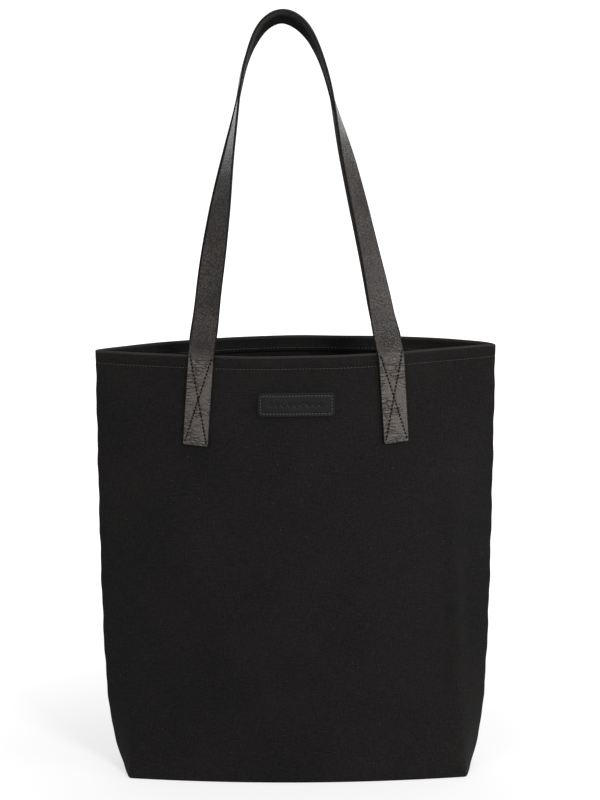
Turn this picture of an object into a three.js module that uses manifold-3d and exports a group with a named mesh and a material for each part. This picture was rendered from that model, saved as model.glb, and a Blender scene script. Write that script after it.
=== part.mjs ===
// An open canvas tote bag with two leather handles, a leather label and a flat boxed base.
// Millimetres, +Z up. The front of the bag looks along -Y. The origin is the centre of the base,
// on the surface that the bag stands on.
import * as THREE from 'three';
import { mergeVertices } from 'three/addons/utils/BufferGeometryUtils.js';
import Module from 'manifold-3d';

const wasm = await Module();
wasm.setup();

// Canvas body. The panel width is measured along the cloth, from side seam to side seam, and the
// narrowings are how far each side seam is drawn in because the front and back stand apart.
const panelWidth = 384;
const bagHeight = 413;
const baseDepth = 68;
const clothThickness = 1.4;
const mouthNarrowing = 6;
const bellyNarrowing = 9.7;
const mouthHalfDepth = 41;
const bellyBulge = 8;
const foldFade = 40;
const hemDepth = 14;
const hemThickness = 1;
const hemStitchDrop = 12;

// Tape folded round the raw edges of the seams, inside the bag
const tapeThickness = 2;
const tapeWidth = 9;
const lowTapeHeight = 6.3;
const cornerTapeInset = 3.8;
const cornerTapeSetback = 7.4;

// Leather handles
const strapWidth = 25;
const strapThickness = 2.5;
const strapSpacing = 174;
const tabLength = 84;
const tabSplay = 4;
const handleRise = 312;
const backHandleDrop = 2;
const handleLean = 11;
const backHandleLean = 15;
const handleMeetDepth = 13;
const apexTwist = 119;
const twistDelay = 1.15;
const straightStart = 15;

// Leather label
const labelWidth = 72;
const labelHeight = 22;
const labelThickness = 1.2;
const labelDrop = 45;
const labelCornerRadius = 3.5;

// Thread
const threadWidth = 0.8;
const threadThickness = 0.5;
const crossMargin = 2;
const labelStitchMargin = 2.6;

// Clear space between neighbouring pieces
const gap = 0.3;

// How finely bent pieces are divided. A panel's rows lie closer together towards the base, and
// flatShare of its columns lie between the corners of the base.
const panelColumns = 30;
const flatShare = 2 / 3;
const panelRows = 12;
const rowCrowding = 1.5;
const sideTapeRows = 16;
const tabRows = 6;
const stitchRows = 10;
const loopRows = 60;
const labelColumns = 12;

const baseWidth = panelWidth - baseDepth;
const mouthWidth = panelWidth - 2 * mouthNarrowing;
const clothFace = clothThickness / 2;
const threadSeat = clothFace + gap;
const strapSeat = clothFace + gap + strapThickness / 2;
const labelSeat = clothFace + gap + labelThickness / 2;

const canvasCloth = new THREE.MeshStandardMaterial({ color: 0x1f1d1c, roughness: 0.95, metalness: 0 });
const seamTape = new THREE.MeshStandardMaterial({ color: 0x191817, roughness: 0.9, metalness: 0 });
const strapLeather = new THREE.MeshStandardMaterial({ color: 0x4e4a47, roughness: 0.5, metalness: 0 });
const labelLeather = new THREE.MeshStandardMaterial({ color: 0x262524, roughness: 0.6, metalness: 0 });
const sewingThread = new THREE.MeshStandardMaterial({ color: 0x151413, roughness: 0.8, metalness: 0 });

// ---- Solids ----

function toSolid(geometry) {
  geometry.deleteAttribute('normal');
  geometry.deleteAttribute('uv');
  const welded = mergeVertices(geometry, 1e-4);
  return new wasm.Manifold(new wasm.Mesh({
    numProp: 3,
    vertProperties: new Float32Array(welded.getAttribute('position').array),
    triVerts: new Uint32Array(welded.index.array),
  }));
}

function toMesh(name, solid, material) {
  const { vertProperties, triVerts } = solid.getMesh();
  const geometry = new THREE.BufferGeometry();
  geometry.setAttribute('position', new THREE.BufferAttribute(vertProperties, 3));
  geometry.setIndex(new THREE.BufferAttribute(triVerts, 1));
  geometry.computeVertexNormals();
  const mesh = new THREE.Mesh(geometry, material);
  mesh.name = name;
  return mesh;
}

// A box whose grid points are each moved by place(x, y, z), which returns a Vector3
function bentBox(size, segments, place) {
  const box = new THREE.BoxGeometry(...size, ...segments);
  const points = box.getAttribute('position');
  const point = new THREE.Vector3();
  for (let i = 0; i < points.count; i += 1) {
    point.fromBufferAttribute(points, i);
    points.setXYZ(i, ...place(point.x, point.y, point.z).toArray());
  }
  return toSolid(box);
}

function straightBox(low, high) {
  const size = high.map((value, i) => value - low[i]);
  const box = new THREE.BoxGeometry(...size);
  box.translate(...low.map((value, i) => value + size[i] / 2));
  return toSolid(box);
}

// A straight column, right through the bag along Y, whose section in X and Z is the given outline
function columnAlongY(outline) {
  const depth = 2 * baseDepth;
  const column = new THREE.ExtrudeGeometry(outline, { depth, bevelEnabled: false, curveSegments: 3 });
  column.translate(0, 0, -depth / 2);
  column.rotateX(Math.PI / 2);
  return toSolid(column);
}

function roundedOutline(width, height, radius, centreHeight) {
  const x = width / 2;
  const low = centreHeight - height / 2;
  const high = centreHeight + height / 2;
  const outline = new THREE.Shape();
  outline.moveTo(-x + radius, low);
  outline.lineTo(x - radius, low);
  outline.absarc(x - radius, low + radius, radius, -Math.PI / 2, 0);
  outline.lineTo(x, high - radius);
  outline.absarc(x - radius, high - radius, radius, 0, Math.PI / 2);
  outline.lineTo(-x + radius, high);
  outline.absarc(-x + radius, high - radius, radius, Math.PI / 2, Math.PI);
  outline.lineTo(-x, low + radius);
  outline.absarc(-x + radius, low + radius, radius, Math.PI, 1.5 * Math.PI);
  return outline;
}

// ---- Shape of the front of the bag ----

// How much of the boxed base's rectangular section is left at a height: all of it at the base
function boxedShare(height) {
  return Math.exp(-height / foldFade);
}

function lensSection(across, height) {
  const level = height / bagHeight;
  const narrowing = THREE.MathUtils.lerp(bellyNarrowing, mouthNarrowing, level);
  const halfWidth = panelWidth / 2 - narrowing;
  const halfDepth = mouthHalfDepth + bellyBulge * Math.sin(Math.PI * level);
  const share = across / (panelWidth / 2);
  return new THREE.Vector2(halfWidth * share, -halfDepth * (1 - share * share));
}

function boxSection(across) {
  if (Math.abs(across) <= baseWidth / 2) {
    return new THREE.Vector2(across, -baseDepth / 2);
  }
  return new THREE.Vector2(Math.sign(across) * baseWidth / 2, Math.abs(across) - panelWidth / 2);
}

// A place on the middle of the front cloth: across is measured along the cloth from its centre line
function section(across, height) {
  return lensSection(across, height).lerp(boxSection(across), boxedShare(height));
}

function outwardNormal(across, height) {
  const step = 0.5;
  const along = section(across + step, height).sub(section(across - step, height)).normalize();
  return new THREE.Vector2(along.y, -along.x);
}

// A point at a distance out from the middle of the front cloth
function onFront(across, height, outward) {
  const flat = section(across, height).addScaledVector(outwardNormal(across, height), outward);
  return new THREE.Vector3(flat.x, flat.y, height);
}

// Turns an even share of the panel, -0.5 to 0.5, into a place across it, with a grid line on each
// corner of the base
function acrossPanel(share) {
  const reach = Math.abs(2 * share);
  if (reach <= flatShare) {
    return Math.sign(share) * (reach / flatShare) * (baseWidth / 2);
  }
  const beyond = (reach - flatShare) / (1 - flatShare);
  return Math.sign(share) * (baseWidth / 2 + beyond * (baseDepth / 2));
}

// A layer of cloth over the whole width, between two heights and two distances from its middle
function clothLayer(low, high, inner, outer, rows) {
  return bentBox([1, 1, outer - inner], [panelColumns, rows, 1], (x, y, z) => {
    const height = low + (high - low) * Math.pow(y + 0.5, rows > 1 ? rowCrowding : 1);
    const point = onFront(acrossPanel(x), height, (inner + outer) / 2 + z);
    point.y = Math.min(point.y, -gap / 2);
    return point;
  });
}

// ---- Canvas panel, one half of the bag and of its base ----

const hemStitchHeight = bagHeight - hemStitchDrop;
const hemThreadLength = panelWidth - 2 * tapeWidth;

function hemLine(length, height, inner, outer) {
  return bentBox([length, height, outer - inner], [panelColumns, 1, 1], (x, y, z) => (
    onFront(x, hemStitchHeight + y, (inner + outer) / 2 + z)
  ));
}

function canvasPanel() {
  const wall = clothLayer(0, bagHeight, -clothFace, clothFace, panelRows);
  const hem = clothLayer(bagHeight - hemDepth, bagHeight, -clothFace - hemThickness, 0, 1);
  const halfBase = straightBox(
    [-baseWidth / 2, -baseDepth / 2, 0],
    [baseWidth / 2, -gap / 2, clothThickness],
  );
  const groove = hemLine(
    hemThreadLength + 2 * gap,
    threadWidth + 2 * gap,
    clothFace - threadThickness - gap,
    clothFace + 1,
  );
  return wall.add(hem).add(halfBase).subtract(groove);
}

function hemThread() {
  return hemLine(hemThreadLength, threadWidth, clothFace - threadThickness, clothFace);
}

// ---- Seam tapes ----

// The tape stands inward from the side seam, just where the two panels are far enough apart
function sideTapeInset(height) {
  const across = panelWidth / 2;
  const normal = outwardNormal(across, height);
  const slope = Math.abs(normal.x / normal.y);
  return (tapeThickness / 2 + gap) / slope + clothFace / Math.abs(normal.x) + gap;
}

const lowTapeTop = clothThickness + gap + lowTapeHeight;

function sideTape() {
  const low = lowTapeTop + gap;
  const high = bagHeight - hemDepth - gap;
  return bentBox([tapeWidth, high - low, tapeThickness], [1, sideTapeRows, 1], (x, y, z) => {
    const height = (low + high) / 2 + y;
    const seam = section(panelWidth / 2, height).x;
    const outerEdge = seam - sideTapeInset(height);
    return new THREE.Vector3(outerEdge - tapeWidth / 2 + x, -z, height);
  });
}

const cornerTapeOuter = baseWidth / 2 - cornerTapeInset + clothFace + gap;

function baseTape() {
  const end = cornerTapeOuter - tapeThickness - gap;
  return straightBox(
    [-end, -tapeThickness / 2, clothThickness + gap],
    [end, tapeThickness / 2, lowTapeTop],
  );
}

function cornerTape() {
  const end = baseDepth / 2 - cornerTapeSetback;
  return straightBox(
    [cornerTapeOuter - tapeThickness, -end, clothThickness + gap],
    [cornerTapeOuter, end, lowTapeTop],
  );
}

// ---- Leather straps ----

const strapAcross = (strapSpacing / mouthWidth) * panelWidth / 2;
const splaySlope = Math.tan(THREE.MathUtils.degToRad(tabSplay));

// A point on the outside of the front cloth in a tab's own measures: drop is below the rim
function onTab(side, across, drop, outward) {
  const centre = side * (strapAcross + drop * splaySlope);
  return onFront(centre + across, bagHeight - drop, outward);
}

function strapTab(side) {
  const middleDrop = gap + tabLength / 2;
  return bentBox([strapWidth, tabLength, strapThickness], [2, tabRows, 1], (x, y, z) => (
    onTab(side, x, middleDrop - y, strapSeat + z)
  ));
}

// Two rows of thread that cross from corner to corner of a tab
function crossStitch(side) {
  const halfWidth = strapWidth / 2 - crossMargin;
  const rows = [-1, 1].map((lean) => (
    bentBox([threadWidth, 1, threadThickness], [1, stitchRows, 1], (x, y, z) => {
      const drop = gap + crossMargin + (tabLength - 2 * crossMargin) * (0.5 - y);
      const seat = strapSeat + strapThickness / 2 + gap + threadThickness / 2;
      return onTab(side, 2 * lean * y * halfWidth + x, drop, seat + z);
    })
  ));
  return rows[0].add(rows[1]);
}

// The outline of the loop: shares of the strap spacing and of the rise, from a rim to the top
const archOutline = [
  [1, 0], [0.965, 0.08], [0.92, 0.165], [0.83, 0.31], [0.73, 0.457], [0.62, 0.605],
  [0.53, 0.745], [0.44, 0.84], [0.31, 0.93], [0.16, 0.982],
];

function loopPath(rise, lean) {
  const root = onFront(strapAcross, bagHeight, strapSeat);
  const place = (side, [spread, climb]) => new THREE.Vector3(
    side * spread * root.x + lean * Math.sin(climb * Math.PI / 2),
    THREE.MathUtils.lerp(root.y, -handleMeetDepth, THREE.MathUtils.smoothstep(climb, 0, 1)),
    bagHeight + gap + rise * climb,
  );
  const leftLeg = archOutline.map((share) => place(-1, share));
  const rightLeg = archOutline.map((share) => place(1, share)).reverse();
  return new THREE.CatmullRomCurve3([...leftLeg, place(0, [0, 1]), ...rightLeg], false, 'centripetal');
}

// The strap leaves the cloth flat, and turns about its own length until it lies across the bag
function handleLoop(rise, lean) {
  const path = loopPath(rise, lean);
  const length = path.getLength();
  const rimNormal = outwardNormal(strapAcross, bagHeight);
  const rimTwist = Math.atan2(Math.abs(rimNormal.x), -rimNormal.y);
  const fullTwist = THREE.MathUtils.degToRad(apexTwist);
  return bentBox([length, strapWidth, strapThickness], [loopRows, 2, 1], (x, y, z) => {
    const share = THREE.MathUtils.clamp(x / length + 0.5, 0, 1);
    const fromRim = Math.min(share, 1 - share);
    const along = path.getTangentAt(share);
    const upright = new THREE.Vector3(0, 0, share < 0.5 ? 1 : -1);
    along.lerp(upright, Math.max(0, 1 - fromRim * length / straightStart)).normalize();
    const front = new THREE.Vector3(0, -1, 0).projectOnPlane(along).normalize();
    const inward = along.clone().cross(front);
    const turn = Math.pow(2 * fromRim, twistDelay);
    const twist = rimTwist + (fullTwist - rimTwist) * turn;
    const innerEdge = inward.clone().applyAxisAngle(along, -twist);
    const grain = innerEdge.clone().cross(along);
    return path.getPointAt(share).addScaledVector(innerEdge, -y).addScaledVector(grain, z);
  });
}

// ---- Label ----

const labelHeightAboveBase = bagHeight - labelDrop;

function labelLayer(width, height, radius, inner, outer) {
  const layer = bentBox([width, height, outer - inner], [labelColumns, 1, 1], (x, y, z) => (
    onFront(x, labelHeightAboveBase + y, (inner + outer) / 2 + z)
  ));
  return layer.intersect(columnAlongY(roundedOutline(width, height, radius, labelHeightAboveBase)));
}

function labelPatch() {
  const inner = labelSeat - labelThickness / 2;
  return labelLayer(labelWidth, labelHeight, labelCornerRadius, inner, inner + labelThickness);
}

function labelThread() {
  const inner = labelSeat + labelThickness / 2 + gap;
  const outer = inner + threadThickness;
  const trim = (margin, low, high) => labelLayer(
    labelWidth - 2 * margin,
    labelHeight - 2 * margin,
    labelCornerRadius - margin / 2,
    low,
    high,
  );
  const ring = trim(labelStitchMargin, inner, outer);
  return ring.subtract(trim(labelStitchMargin + threadWidth, inner - 1, outer + 1));
}

// ---- Assembly ----

const bag = new THREE.Group();
const sides = [['left', -1], ['right', 1]];

// Front and back are the same shape: the back is the front turned half way round. What is on the
// left of the whole bag is on the right of the turned half.
[['front', 1], ['back', -1]].forEach(([face, facing]) => {
  const half = new THREE.Group();
  half.rotation.z = facing > 0 ? 0 : Math.PI;
  half.add(toMesh(`${face}_panel`, canvasPanel(), canvasCloth));
  half.add(toMesh(`${face}_hem_thread`, hemThread(), sewingThread));
  sides.forEach(([name, side]) => {
    half.add(toMesh(`${face}_strap_tab_${name}`, strapTab(side * facing), strapLeather));
    half.add(toMesh(`${face}_tab_thread_${name}`, crossStitch(side * facing), sewingThread));
  });
  bag.add(half);
});

const frontSolid = handleLoop(handleRise, -handleLean);
const backSolid = handleLoop(handleRise - backHandleDrop, backHandleLean);
const frontLoop = toMesh('front_strap_loop', frontSolid, strapLeather);
const backLoop = toMesh('back_strap_loop', backSolid, strapLeather);
backLoop.rotation.z = Math.PI;
bag.add(frontLoop, backLoop);

bag.add(toMesh('base_seam_binding', baseTape(), seamTape));
sides.forEach(([name, side]) => {
  const end = new THREE.Group();
  end.rotation.z = side > 0 ? 0 : Math.PI;
  end.add(toMesh(`${name}_seam_binding`, sideTape(), seamTape));
  end.add(toMesh(`${name}_corner_binding`, cornerTape(), seamTape));
  bag.add(end);
});

bag.add(toMesh('label_patch', labelPatch(), labelLeather));
bag.add(toMesh('label_thread', labelThread(), sewingThread));

export default bag;
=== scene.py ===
"""An open canvas tote bag with leather handles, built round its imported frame."""
import math

import bpy
import numpy as np
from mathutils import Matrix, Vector


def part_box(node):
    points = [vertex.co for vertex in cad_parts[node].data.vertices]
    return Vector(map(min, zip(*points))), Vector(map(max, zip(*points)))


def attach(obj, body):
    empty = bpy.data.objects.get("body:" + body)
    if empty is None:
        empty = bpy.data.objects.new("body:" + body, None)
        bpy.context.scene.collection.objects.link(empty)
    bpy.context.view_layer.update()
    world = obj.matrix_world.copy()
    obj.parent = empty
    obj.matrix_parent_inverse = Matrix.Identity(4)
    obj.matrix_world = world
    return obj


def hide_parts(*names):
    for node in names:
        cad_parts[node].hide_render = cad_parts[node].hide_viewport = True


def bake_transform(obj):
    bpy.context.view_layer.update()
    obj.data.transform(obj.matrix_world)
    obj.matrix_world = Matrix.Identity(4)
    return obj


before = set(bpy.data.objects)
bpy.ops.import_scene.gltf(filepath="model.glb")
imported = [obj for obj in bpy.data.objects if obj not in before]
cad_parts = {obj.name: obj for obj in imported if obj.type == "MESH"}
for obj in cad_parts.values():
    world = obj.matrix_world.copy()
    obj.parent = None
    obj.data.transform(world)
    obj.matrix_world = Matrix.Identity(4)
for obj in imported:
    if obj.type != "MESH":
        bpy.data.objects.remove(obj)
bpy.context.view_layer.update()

scene = bpy.context.scene


# ---- Camera, floor and light ----
# A long lens stands three metres in front of the bag and looks a little down on it. The floor and
# the air are pale and even. Five soft lamps stand round the bag, and those at the right and behind
# put long highlights on the leather.

lens_millimetres = 149
sensor_millimetres = 36
view_end = 60
camera_place = Vector((-0.032, -3.0, 1.106))
camera_pitch = math.radians(13.94)
camera_yaw = math.radians(0.69)

camera_data = bpy.data.cameras.new("camera")
camera_data.lens = lens_millimetres
camera_data.sensor_width = sensor_millimetres
camera_data.clip_end = view_end
camera = bpy.data.objects.new("camera", camera_data)
camera.location = camera_place
camera.rotation_euler = (math.pi / 2 - camera_pitch, 0, -camera_yaw)
scene.collection.objects.link(camera)
scene.camera = camera
scene.view_settings.view_transform = "Standard"


def soft_lamp(name, place, aim, size, power):
    data = bpy.data.lights.new(name, "AREA")
    data.shape = "RECTANGLE"
    data.size, data.size_y = size
    data.energy = power
    lamp = bpy.data.objects.new(name, data)
    lamp.location = place
    lamp.visible_camera = False
    lamp.rotation_euler = (Vector(aim) - Vector(place)).to_track_quat("-Z", "Y").to_euler()
    scene.collection.objects.link(lamp)


soft_lamp("lamp_key", (1.2, -2.4, 2.1), (0, 0, 0.45), (0.7, 0.7), 36)
soft_lamp("lamp_fill", (-1.6, -2.2, 1.2), (0, 0, 0.40), (0.8, 1.4), 6)
soft_lamp("lamp_top", (0.3, -0.3, 2.7), (0, 0, 0.4), (1.6, 1.0), 14)
soft_lamp("lamp_right", (2.4, -0.9, 0.8), (0, 0, 0.35), (0.7, 1.6), 16)
soft_lamp("lamp_behind", (0.0, 2.6, 1.0), (0, 0, 0.5), (4.0, 2.2), 34)


def feed(node, **values):
    """Sets a node's inputs by name, or by number as i0, i1. A socket is linked, a value is set."""
    for name, value in values.items():
        numbered = name[0] == "i" and name[1:].isdigit()
        socket = node.inputs[int(name[1:]) if numbered else name.replace("_", " ")]
        if isinstance(value, bpy.types.NodeSocket):
            node.id_data.links.new(value, socket)
        else:
            socket.default_value = value
    return node


def add_node(tree, kind, settings=None, **values):
    node = tree.nodes.new(kind)
    for name, value in (settings or {}).items():
        setattr(node, name, value)
    return feed(node, **values)


def calc(tree, operation, *values):
    named = {f"i{k}": value for k, value in enumerate(values)}
    return add_node(tree, "ShaderNodeMath", {"operation": operation}, **named).outputs[0]


def stretch(tree, value, low, high, to_low=0.0, to_high=1.0, soft=False):
    """Carries the range from low to high onto another range, and stops at its ends."""
    settings = {"interpolation_type": "SMOOTHSTEP" if soft else "LINEAR"}
    return add_node(tree, "ShaderNodeMapRange", settings, Value=value, From_Min=low, From_Max=high,
                    To_Min=to_low, To_Max=to_high).outputs[0]


def new_material(name):
    material = bpy.data.materials.new(name)
    material.use_nodes = True
    tree = material.node_tree
    return material, tree, tree.nodes["Principled BSDF"]


white = (1, 1, 1, 1)
air_light = 0.40
floor_reach = 6.0
floor_grey = (0.42, 0.42, 0.42, 1)
bright_from, bright_to = 0.20, 0.75
floor_near_glow = 0.62

world = bpy.data.worlds.new("air")
world.use_nodes = True
air = world.node_tree
seen = air.nodes.new("ShaderNodeLightPath").outputs["Is Camera Ray"]
feed(air.nodes["Background"], Color=white, Strength=stretch(air, seen, 0.0, 1.0, air_light, 1.0))
scene.world = world

floor_mesh = bpy.data.meshes.new("floor")
floor_mesh.from_pydata(
    [(-floor_reach, -floor_reach, 0), (floor_reach, -floor_reach, 0),
     (floor_reach, floor_reach, 0), (-floor_reach, floor_reach, 0)], [], [(0, 1, 2, 3)])
floor = bpy.data.objects.new("floor", floor_mesh)
scene.collection.objects.link(floor)
floor_paint, floor_tree, floor_shader = new_material("pale_floor")
from_middle = add_node(floor_tree, "ShaderNodeVectorMath", {"operation": "LENGTH"},
                       i0=floor_tree.nodes.new("ShaderNodeTexCoord").outputs["Object"])
brighter = stretch(floor_tree, from_middle.outputs["Value"], bright_from, bright_to,
                   floor_near_glow, 1.0, soft=True)
seen = floor_tree.nodes.new("ShaderNodeLightPath").outputs["Is Camera Ray"]
feed(floor_shader, Base_Color=floor_grey, Roughness=0.9, Specular_IOR_Level=0.0, Emission_Color=white,
     Emission_Strength=calc(floor_tree, "MULTIPLY", seen, brighter))
floor_mesh.materials.append(floor_paint)


# ---- Canvas panels ----
# Each half of the bag is one panel of thick plain-woven cotton canvas, dyed near black, that runs from
# the rim down the wall and under the base. Its top is folded over to the inside as a hem. Its sides
# and base are sewn to the other half inside out, so every seam turns inwards between two soft lips.

canvas_dark = (0.0042, 0.0037, 0.0035, 1)
canvas_pale = (0.0232, 0.0204, 0.0194, 1)
# Colour of the painted highlight along the fold at the rim
canvas_rim_highlight = (0.075, 0.068, 0.065, 1)
lint_colour = (0.16, 0.15, 0.145, 1)
thread_pitch = 0.0009
weave_relief = 0.00022
lint_spacing = 0.011
lint_size = 0.035


def noise(tree, where, scale, detail):
    return add_node(tree, "ShaderNodeTexNoise", Vector=where, Scale=scale, Detail=detail).outputs


def scaled(tree, vector, sizes):
    return add_node(tree, "ShaderNodeVectorMath", {"operation": "MULTIPLY"}, i0=vector, i1=sizes).outputs[0]


def moved(tree, vector, offset):
    return add_node(tree, "ShaderNodeVectorMath", {"operation": "ADD"}, i0=vector, i1=offset).outputs[0]


def split(tree, vector):
    return add_node(tree, "ShaderNodeSeparateXYZ", Vector=vector).outputs


def blend_colours(tree, share, first, second):
    node = add_node(tree, "ShaderNodeMix", {"data_type": "RGBA"}, i0=share, i6=first, i7=second)
    return node.outputs[2]


def new_group(name, inputs, outputs):
    tree = bpy.data.node_groups.new(name, "ShaderNodeTree")
    for socket, kind, value in inputs:
        made = tree.interface.new_socket(socket, in_out="INPUT", socket_type=kind)
        if value is not None:
            made.default_value = value
    for socket, kind in outputs:
        tree.interface.new_socket(socket, in_out="OUTPUT", socket_type=kind)
    return tree, tree.nodes.new("NodeGroupInput").outputs, tree.nodes.new("NodeGroupOutput").inputs


def plain_weave_group():
    """Height of a plain weave, and an uneven mask that follows its threads."""
    tree, given, result = new_group(
        "plain_weave",
        [("Vector", "NodeSocketVector", None), ("Thread pitch", "NodeSocketFloat", thread_pitch),
         ("Unevenness", "NodeSocketFloat", 0.3)],
        [("Height", "NodeSocketFloat"), ("Threads", "NodeSocketFloat")])
    where = given["Vector"]
    wander = calc(tree, "SUBTRACT", noise(tree, where, 160.0, 2.0)[0], 0.5)
    offset = calc(tree, "MULTIPLY", wander, given["Unevenness"])
    across = split(tree, where)
    turns = calc(tree, "DIVIDE", math.pi, given["Thread pitch"])
    warp = calc(tree, "SINE", calc(tree, "ADD", calc(tree, "MULTIPLY", across[0], turns), offset))
    weft = calc(tree, "SINE", calc(tree, "ADD", calc(tree, "MULTIPLY", across[1], turns), offset))
    crossing = calc(tree, "SIGN", calc(tree, "MULTIPLY", warp, weft))
    round_warp = calc(tree, "ABSOLUTE", warp)
    round_weft = calc(tree, "ABSOLUTE", weft)
    lift = 0.55
    warp_height = calc(tree, "ADD", round_warp,
                       calc(tree, "MULTIPLY", calc(tree, "MULTIPLY", round_weft, crossing), lift))
    weft_height = calc(tree, "SUBTRACT", round_weft,
                       calc(tree, "MULTIPLY", calc(tree, "MULTIPLY", round_warp, crossing), lift))
    height = calc(tree, "MAXIMUM", warp_height, weft_height)
    fluff = calc(tree, "MULTIPLY", noise(tree, where, 2600.0, 3.0)[0], 0.5)
    along_warp = noise(tree, scaled(tree, where, (1300.0, 90.0, 1.0)), 1.0, 1.0)[0]
    along_weft = noise(tree, scaled(tree, where, (90.0, 1300.0, 1.0)), 1.0, 1.0)[0]
    threads = calc(tree, "MULTIPLY", calc(tree, "ADD", along_warp, along_weft), 0.5)
    tree.links.new(calc(tree, "ADD", height, fluff), result["Height"])
    tree.links.new(threads, result["Threads"])
    return tree


def specks_group():
    """A mask of small scattered flecks, such as lint or dust."""
    tree, given, result = new_group(
        "specks",
        [("Vector", "NodeSocketVector", None), ("Spacing", "NodeSocketFloat", 0.01),
         ("Size", "NodeSocketFloat", 0.03)],
        [("Mask", "NodeSocketFloat")])
    scale = calc(tree, "DIVIDE", 1.0, given["Spacing"])
    cells = add_node(tree, "ShaderNodeTexVoronoi", Vector=given["Vector"], Scale=scale)
    near = calc(tree, "LESS_THAN", cells.outputs["Distance"], given["Size"])
    tree.links.new(near, result["Mask"])
    return tree


def place_group(tree, group, **values):
    return add_node(tree, "ShaderNodeGroup", {"node_tree": group}, **values).outputs


plain_weave = plain_weave_group()
specks = specks_group()


def surface_coordinates(tree):
    """Metres across and along the piece, from its own UV map."""
    return add_node(tree, "ShaderNodeUVMap", {"uv_map": "surface"}).outputs[0]


def bump(tree, height, distance, strength=1.0):
    return add_node(tree, "ShaderNodeBump", Height=height, Distance=distance, Strength=strength).outputs[0]


def woven_canvas(name):
    material, tree, shader = new_material(name)
    where = surface_coordinates(tree)
    weave = place_group(tree, plain_weave, Vector=where, Thread_pitch=thread_pitch)
    wash = noise(tree, where, 14.0, 3.0)[0]
    slubs = noise(tree, where, 520.0, 2.0)[0]
    tone = calc(tree, "ADD", calc(tree, "MULTIPLY", weave["Threads"], 0.45),
                calc(tree, "MULTIPLY", wash, 0.15))
    tone = calc(tree, "ADD", tone, calc(tree, "MULTIPLY", slubs, 0.40))
    raised = stretch(tree, weave["Height"], 0.5, 1.6)
    shadow = tuple(0.35 * c for c in canvas_dark[:3]) + (1,)
    woven = blend_colours(tree, stretch(tree, tone, 0.38, 0.62), canvas_dark, canvas_pale)
    shaded = blend_colours(tree, calc(tree, "SUBTRACT", 1.0, raised), woven, shadow)
    lint = place_group(tree, specks, Vector=where, Spacing=lint_spacing, Size=lint_size)["Mask"]
    coloured = blend_colours(tree, calc(tree, "MULTIPLY", lint, 0.5), shaded, lint_colour)

    # A painted highlight along the fold at the rim makes it a little paler
    drop = calc(tree, "ABSOLUTE", split(tree, where)[1])
    painted_highlight = stretch(tree, drop, 0.0004, 0.0018, 0.36, 0.0)
    feed(shader, Base_Color=blend_colours(tree, painted_highlight, coloured, canvas_rim_highlight),
         Normal=bump(tree, weave["Height"], weave_relief), Roughness=0.92, Specular_IOR_Level=0.25,
         Sheen_Weight=0.05, Sheen_Roughness=0.45)
    return material


canvas = woven_canvas("black_canvas")

bag_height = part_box("front_panel")[1].z
panel_width = 0.388
base_depth = 0.068
base_width = panel_width - base_depth
canvas_thickness = 0.0012
mouth_half_width = 0.1905
belly_half_width = 0.1865
boxed_fade = 0.053
rim_slant = 0.0056
rim_dip = 0.0015
rim_dip_reach = 0.005
rim_dip_fade = 0.008
seam_pucker = 0.00045
right_corner_dip = 2.8
base_bow = 0.014
base_end_bow = 0.0045
base_shift = 0.0018
corner_softness = 0.11
mouth_depth = {"front": 0.0416, "back": 0.0465}
belly_bulge = {"front": 0.0075, "back": 0.0030}
hem_depth = 0.0135
hem_stitch_drop = 0.012
hem_air = 0.0003
hem_puff = 0.0005
hem_pull = 0.0004
hem_pull_reach = 0.0014
hem_allowance = 0.0008
below_hem = 0.004
seam_lip = 0.0009
seam_half_gap = 0.00065
seam_allowance = 0.009
base_allowance = 0.0045
foot_height = 0.012
foot_reach = 0.004
small_step = 0.0005

# How far out each wave stands, its lengths across and up, its start, and how it differs at the back
slow_waves = ((0.0011, 0.23, 0.41, 1.3, 1), (0.0008, 0.13, -0.29, 0.4, 2), (0.0004, 0.071, 0.17, 2.6, 1))
# How far out each fold stands, its place and lean, its half width, its middle height and half length
soft_folds = ((0.0026, 0.163, 0.02, 0.008, 0.16, 0.09), (0.0014, -0.150, 0.0, 0.009, 0.09, 0.05))


def soft_corner(distance, rounding):
    """The positive part of a distance, with a rounded start."""
    return 0.5 * (distance + np.sqrt(distance * distance + 4 * rounding * rounding))


def sway(across, height, face, hem=1.0):
    """How far the cloth hangs out or in: slow waves, a few soft folds, a puffed hem."""
    phase = 0.0 if face == "front" else 2.1
    waves = sum(out * np.sin(2 * math.pi * (across / wide + height / tall) + start + times * phase)
                for out, wide, tall, start, times in slow_waves)
    share = across / (panel_width / 2)
    hanging = waves * ((1 - share ** 4) * (1 - np.exp(-height / 0.05)))
    for out, place, lean, wide, middle, tall in soft_folds:
        place = place - lean * (height / bag_height)
        hanging = hanging + out * (np.exp(-((across - place) / wide) ** 2)
                                   * np.exp(-((height - middle) / tall) ** 2))
    drop = np.clip(bag_height - height, 0, None)
    puff = np.where(drop < hem_stitch_drop, np.sin(math.pi * drop / hem_stitch_drop) ** 2, 0)
    pull = np.exp(-((drop - hem_stitch_drop) / hem_pull_reach) ** 2)
    return hanging + hem * (hem_puff * puff - hem_pull * pull)


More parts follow.
